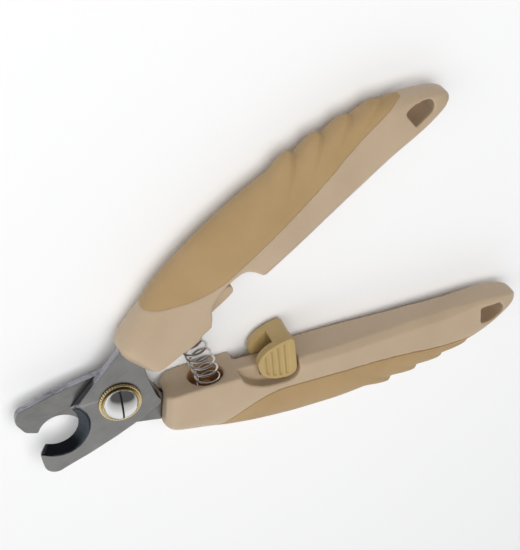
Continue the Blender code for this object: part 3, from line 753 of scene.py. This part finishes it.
def spring_grid():
    """Tube on a helix whose centre line is x = middle - y^2 / (2 bow)."""
    k = np.linspace(-1, 1, int(SPRING_TURNS * 44))
    along = SPRING_REACH * k
    lean = along / SPRING_BOW
    turn = np.pi * SPRING_TURNS * (k + 1)
    middle = np.stack([SPRING_MIDDLE - along ** 2 / (2 * SPRING_BOW), along, 0 * k], axis=1)
    out = np.stack([np.cos(lean), np.sin(lean), 0 * k], axis=1)
    radial = out * np.cos(turn)[:, None] + np.array([0, 0, 1.0]) * np.sin(turn)[:, None]
    path = middle + radial * SPRING_R
    way = np.gradient(path, axis=0)
    way = way / np.linalg.norm(way, axis=1)[:, None]
    across = np.cross(way, radial)
    b = np.linspace(0, 2 * np.pi, 16, endpoint=False)[None, :, None]
    return path[:, None] + WIRE_R * (np.cos(b) * radial[:, None] + np.sin(b) * across[:, None])


SPRING_WIRE = steel("plated_wire", (0.80, 0.79, 0.77), (0.62, 0.61, 0.59), 0.10, 0.2, 0.1)
spring = skin("plated_return_spring", spring_grid(), sharp=60)
spring.data.transform(Matrix.Translation(Vector(PIVOT)) @ Matrix.Scale(MM, 4))
spring.data.materials.append(SPRING_WIRE)
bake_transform(spring)
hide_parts("return_spring")


# ---------------------------------------------------------------------------------------------------
# The lock: a saddle moulded in yellow-tan plastic that straddles the lower handle's rail. Two
# thumb pads with five ribs each are joined by a roof at the rear, and two lugs inside keep it on the
# rail. Pushed towards the pivot with the handles closed, its roof goes under the upper one's hook.

PAD = [(42.2, -1.4), (43.6, -3.9), (45.9, -5.7), (49.8, -7.3), (53.0, -7.9), (54.0, -7.5), (54.5, -6.5),
       (54.6, 3.2), (54.2, 4.7), (53.2, 5.6), (51.5, 6.1), (47.5, 5.7), (44.7, 4.5), (42.8, 2.0)]
PAD_MIDDLE = np.array([48.8, -0.8])
PAD_IN_W = 3.1
PAD_OUT_W = 6.2
RIB_U = 48.4
RIB_PITCH = 2.05
RIB_DEPTH = 0.7
HOLLOW_W = 4.4                                 # how far from the middle each pad is hollowed
LUG_IN_W = 1.8
LUG_OUT_W = 3.4
LOCK_TAN = (0.49, 0.355, 0.155)
LOCK_DEEP = (0.45, 0.32, 0.135)


def pad_edge(share):
    """Pad outline, its corners rounded, at a share of its distance from the pad's middle."""
    edge = round_off(PAD, 0.8, 8)
    edge = even_out(np.concatenate([edge, edge[:1]])[None], 241)[0, :-1]
    return PAD_MIDDLE + share * (edge - PAD_MIDDLE)


def pad_grid():
    """Pad skin: rings that grow from the middle of the outer face, run down the edge and close.

    The outer face is a shallow dome, 0.3 (1 - x^2) high at a share x of the way out, and inside
    its rim four valleys of the shape sin^2 are sunk between the five ribs.
    """
    x = np.concatenate([np.linspace(0.01, 0.93, 60), [0.96, 0.985, 1.0, 1.0, 1.0]])[:, None]
    u, v = np.moveaxis(pad_edge(x[..., None]), 2, 0)
    wave = np.sin(np.pi * (u - RIB_U) / RIB_PITCH) ** 2
    inside = np.clip((0.84 - x) / 0.06, 0, 1) * (np.abs(u - RIB_U) < 2 * RIB_PITCH)
    w = PAD_OUT_W - 0.3 * x ** 2 - RIB_DEPTH * wave * inside
    w[-4:] -= np.array([0.04, 0.15, 0.4, 0.0])[:, None]
    w[-1] = PAD_IN_W
    return np.stack([u, v, w], axis=2)


def make_lock():
    pads = []
    for label, side in (("near", -1), ("far", 1)):
        pads.append(skin("lock_pad_" + label, pad_grid() * (1, 1, side)))
    roof = round_off([(48.2, -6.9), (49.8, -7.25), (53.0, -7.85), (53.95, -7.4), (54.4, -6.5), (54.45, 0.1),
                      (52.3, 0.1), (52.3, -5.8), (48.2, -5.8)], 0.4)
    joins = [pads[1], slab("lock_roof", roof, -3.5, 3.5)]
    hollows = []
    for label, side in (("near", -1), ("far", 1)):
        lug = arc_points((48.1, 3.4), 1.35, 0, 345, 24)
        joins.append(slab("lug_" + label, lug, *sorted((side * LUG_IN_W, side * LUG_OUT_W))))
        u, v = pad_edge(0.84).T
        pocket = np.stack([np.minimum(u, 48.0), np.minimum(v, 0.9)], axis=1)
        hollows.append(slab("hollow_" + label, round_off(pocket, 0.2, 3),
                            *sorted((side * (PAD_IN_W - 0.1), side * HOLLOW_W))))
    body = pads[0]
    body.name = "sliding_lock"
    carve(body, joins, "UNION")
    carve(body, hollows)
    melt(body, 0.15, 3)
    body.data.materials.append(moulded("lock_moulding", LOCK_TAN, LOCK_DEEP, 3600.0, 0.4, 0.5, 0.35, 0.12))
    settle(body, False, joins + hollows)
    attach(body, "lock")
    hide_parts("lock_slider")


make_lock()


# ---------------------------------------------------------------------------------------------------
# The pivot: a nickel-plated screw with a domed, slotted head goes down through a gold cup washer with
# a serrated rim, both blades and a plain washer, and a hexagon nut holds it underneath.

HEAD_R = 5.3
HEAD_H = 2.7
SHANK_R = 2.5
STACK_TOP = BLADE_LIFT + BLADE_THICK           # outer face of the front blade above the middle
SEAT = STACK_TOP + 0.7
SLOT_ANGLE = 1.25
SLOT_HALF = 0.3
WASHER_TEETH = 46
GOLD = (0.96, 0.80, 0.46)
GOLD_DEEP = (0.84, 0.66, 0.34)


def pivot_piece(obj, node, finish, sharp=None):
    """Carry a turned piece, drawn about the pivot in millimetres, to its place, and finish it."""
    obj.data.transform(Matrix.Translation(Vector(PIVOT)) @ Matrix.Scale(MM, 4))
    obj.data.shade_smooth()
    if sharp:
        obj.data.set_sharp_from_angle(angle=math.radians(sharp))
    obj.data.materials.clear()
    obj.data.materials.append(finish)
    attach(obj, "lower")
    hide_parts(node)


CHROME = steel("nickel_plate", (0.86, 0.85, 0.83), (0.78, 0.77, 0.75), 0.05, 0.11, 0.03)
a = np.linspace(0, np.pi / 2, 24)
dome = np.stack([HEAD_R * np.cos(a), SEAT + 0.5 + (HEAD_H - 0.5) * np.sin(a)], axis=1)
shank = [(0, -6.8), (SHANK_R - 0.4, -6.8), (SHANK_R, -6.4), (SHANK_R, SEAT), (HEAD_R - 0.3, SEAT),
         (HEAD_R - 0.05, SEAT + 0.15)]
screw = turned("domed_pivot_screw", np.concatenate([shank, dome]), 120)
along = np.array([math.cos(SLOT_ANGLE), math.sin(SLOT_ANGLE)])
across = np.array([-along[1], along[0]])
corners = np.array([-6 * along - SLOT_HALF * across, 6 * along - SLOT_HALF * across,
                    6 * along + SLOT_HALF * across, -6 * along + SLOT_HALF * across])
slot_tool = slab("screwdriver_slot", corners, SEAT + 1.0, SEAT + 5)
carve(screw, [slot_tool])
soften = screw.modifiers.new("soften", "BEVEL")
soften.width = 0.08
soften.segments = 2
soften.limit_method = "ANGLE"
soften.angle_limit = math.radians(40)
graph = bpy.context.evaluated_depsgraph_get()
screw.data = bpy.data.meshes.new_from_object(screw.evaluated_get(graph))
screw.modifiers.clear()
bpy.data.objects.remove(slot_tool, do_unlink=True)
centre = np.empty(len(screw.data.polygons) * 3)
screw.data.polygons.foreach_get("center", centre)
centre = centre.reshape(-1, 3)
in_slot = (np.abs(centre[:, :2] @ across) < SLOT_HALF + 0.01) & (centre[:, 2] > SEAT + 0.9)
pivot_piece(screw, "pivot_screw", CHROME, 35)
# The slot's faces get near-black steel: painted shade in the slot.
screw.data.materials.append(steel("slot_painted_shade", (0.16, 0.155, 0.15), (0.05, 0.05, 0.05), 0.3, 0.5, 0.3))
screw.data.polygons.foreach_set("material_index", in_slot.astype(np.int32))

RIM = np.array([(2.7, 0.1), (6.35, 0.1), (6.6, 0.16), (6.7, 0.3), (6.7, 0.5), (6.6, 0.68), (6.4, 0.8),
                (6.15, 0.85), (5.9, 0.8), (5.7, 0.62), (5.4, 0.5), (2.7, 0.5)]) + (0, STACK_TOP)


def serration(angle, r):
    """Teeth outside a radius of 6 mm: -0.11 (1 - cos(teeth angle))."""
    return np.where(r > 6.0, -0.11 * (1 - np.cos(WASHER_TEETH * angle)), 0.0)


washer = turned("gold_cup_washer", round_off(RIM, 0.12, 3), WASHER_TEETH * 10, ripple=serration)
GOLD_PLATE = steel("gold_plate", GOLD, GOLD_DEEP, 0.16, 0.28, 0.1)
pivot_piece(washer, "serrated_washer", GOLD_PLATE, 50)

PLAIN = [(2.7, -STACK_TOP - 0.9), (5.6, -STACK_TOP - 0.9), (5.6, -STACK_TOP - 0.1), (2.7, -STACK_TOP - 0.1)]
plain_washer = turned("plain_rear_washer", round_off(PLAIN, 0.12, 4), 96)
pivot_piece(plain_washer, "rear_washer", CHROME, 40)


def nut_grid(flat=8.0, top=-STACK_TOP - 1.1, height=2.6):
    """Hexagon nut: radius = the smaller of the hexagon's and of a cone that breaks its corners."""
    bore = BLADE_BORE
    w = np.concatenate([[0.0, 0.0], np.linspace(0.0, 0.5, 6), np.linspace(0.55, height - 0.55, 6),
                        np.linspace(height - 0.5, height, 6), [height, height]])[:, None]
    a = np.linspace(0, 2 * np.pi, 144, endpoint=False)[None, :]
    hexagon = flat / 2 / np.cos((a + np.pi / 6) % (np.pi / 3) - np.pi / 6)
    cone = flat / 2 - 0.15 + 1.6 * np.minimum(w, height - w)
    r = np.minimum(hexagon, cone)
    r[0] = r[-1] = bore
    r[1] = r[-2] = bore + 0.3
    z = top - height + w
    grid = np.stack([r * np.cos(a), r * np.sin(a), z + 0 * a], axis=2)
    return grid.transpose(1, 0, 2)


nut = skin("hexagon_pivot_nut", nut_grid(), wrap_rows=True)
pivot_piece(nut, "pivot_nut", CHROME, 30)


# ---------------------------------------------------------------------------------------------------
# The setting: a pale floor under the trimmer, soft light from large lamps, and the camera.

def stage_floor():
    """Flat sheet, far wider than the trimmer."""
    s = np.linspace(-1.5, 1.5, 2)
    x, y = np.meshgrid(s, s)
    mesh = bpy.data.meshes.new("floor")
    mesh.from_pydata(np.stack([x.ravel(), y.ravel(), np.full(4, -0.0004)], axis=1).tolist(), [],
                     [(0, 1, 3, 2)])
    obj = bpy.data.objects.new("floor", mesh)
    bpy.context.scene.collection.objects.link(obj)
    mat = bpy.data.materials.new("pale_floor")
    mat.use_nodes = True
    shader = mat.node_tree.nodes["Principled BSDF"]
    shader.inputs["Base Color"].default_value = (0.93, 0.93, 0.93, 1)
    shader.inputs["Roughness"].default_value = 0.9
    mesh.materials.append(mat)


def lamp(name, place, size, power):
    """Square soft lamp that faces the trimmer and isn't itself seen in the metal."""
    light = bpy.data.lights.new(name, "AREA")
    light.size = size
    light.energy = power
    obj = bpy.data.objects.new(name, light)
    bpy.context.scene.collection.objects.link(obj)
    place = Vector(place)
    obj.rotation_euler = (-place).to_track_quat("-Z", "Y").to_euler()
    obj.location = place
    obj.visible_glossy = False


def studio_world():
    """Light tent: bright low down all round, with a dark patch high on one side for the metal."""
    world = bpy.data.worlds.new("studio")
    world.use_nodes = True
    nodes, links = world.node_tree.nodes, world.node_tree.links
    where = nodes.new("ShaderNodeTexCoord")
    towards = nodes.new("ShaderNodeVectorMath")
    towards.operation = "DOT_PRODUCT"
    towards.inputs[1].default_value = (0.5, 0.5, 0.707)
    links.new(where.outputs["Generated"], towards.inputs[0])
    share = spread_range(nodes, links, towards.outputs["Value"], 0.0, 1.0, -1.0, 1.0)
    ramp = nodes.new("ShaderNodeValToRGB")
    ramp.color_ramp.elements[0].position = 0.40
    ramp.color_ramp.elements[0].color = (0.94, 0.95, 0.97, 1)
    ramp.color_ramp.elements[1].position = 0.76
    ramp.color_ramp.elements[1].color = (0.10, 0.10, 0.105, 1)
    middle = ramp.color_ramp.elements.new(0.66)
    middle.color = (0.50, 0.50, 0.50, 1)
    links.new(share, ramp.inputs["Fac"])
    links.new(ramp.outputs["Color"], nodes["Background"].inputs["Color"])
    nodes["Background"].inputs["Strength"].default_value = 0.95
    bpy.context.scene.world = world


stage_floor()
lamp("key_lamp", (0.05, 0.25, 0.9), 0.8, 7.0)
lamp("fill_lamp", (-0.6, 0.3, 0.6), 0.6, 1.2)
studio_world()
bpy.context.scene.view_settings.view_transform = "Standard"

lens = bpy.data.cameras.new("camera")
lens.sensor_fit = "HORIZONTAL"
lens.sensor_width = 36.0
lens.lens = 86.8
lens.clip_start = 0.01
camera = bpy.data.objects.new("camera", lens)
bpy.context.scene.collection.objects.link(camera)
across = Vector((0.874614, -0.354063, 0.331194))
upward = Vector((0.481835, 0.710478, -0.512890))
behind = Vector((-0.053711, 0.608162, 0.791994))
turn = Matrix((across, upward, behind)).transposed().to_4x4()
camera.matrix_world = Matrix.Translation((-0.01314, 0.23684, 0.29737)) @ turn
bpy.context.scene.camera = camera
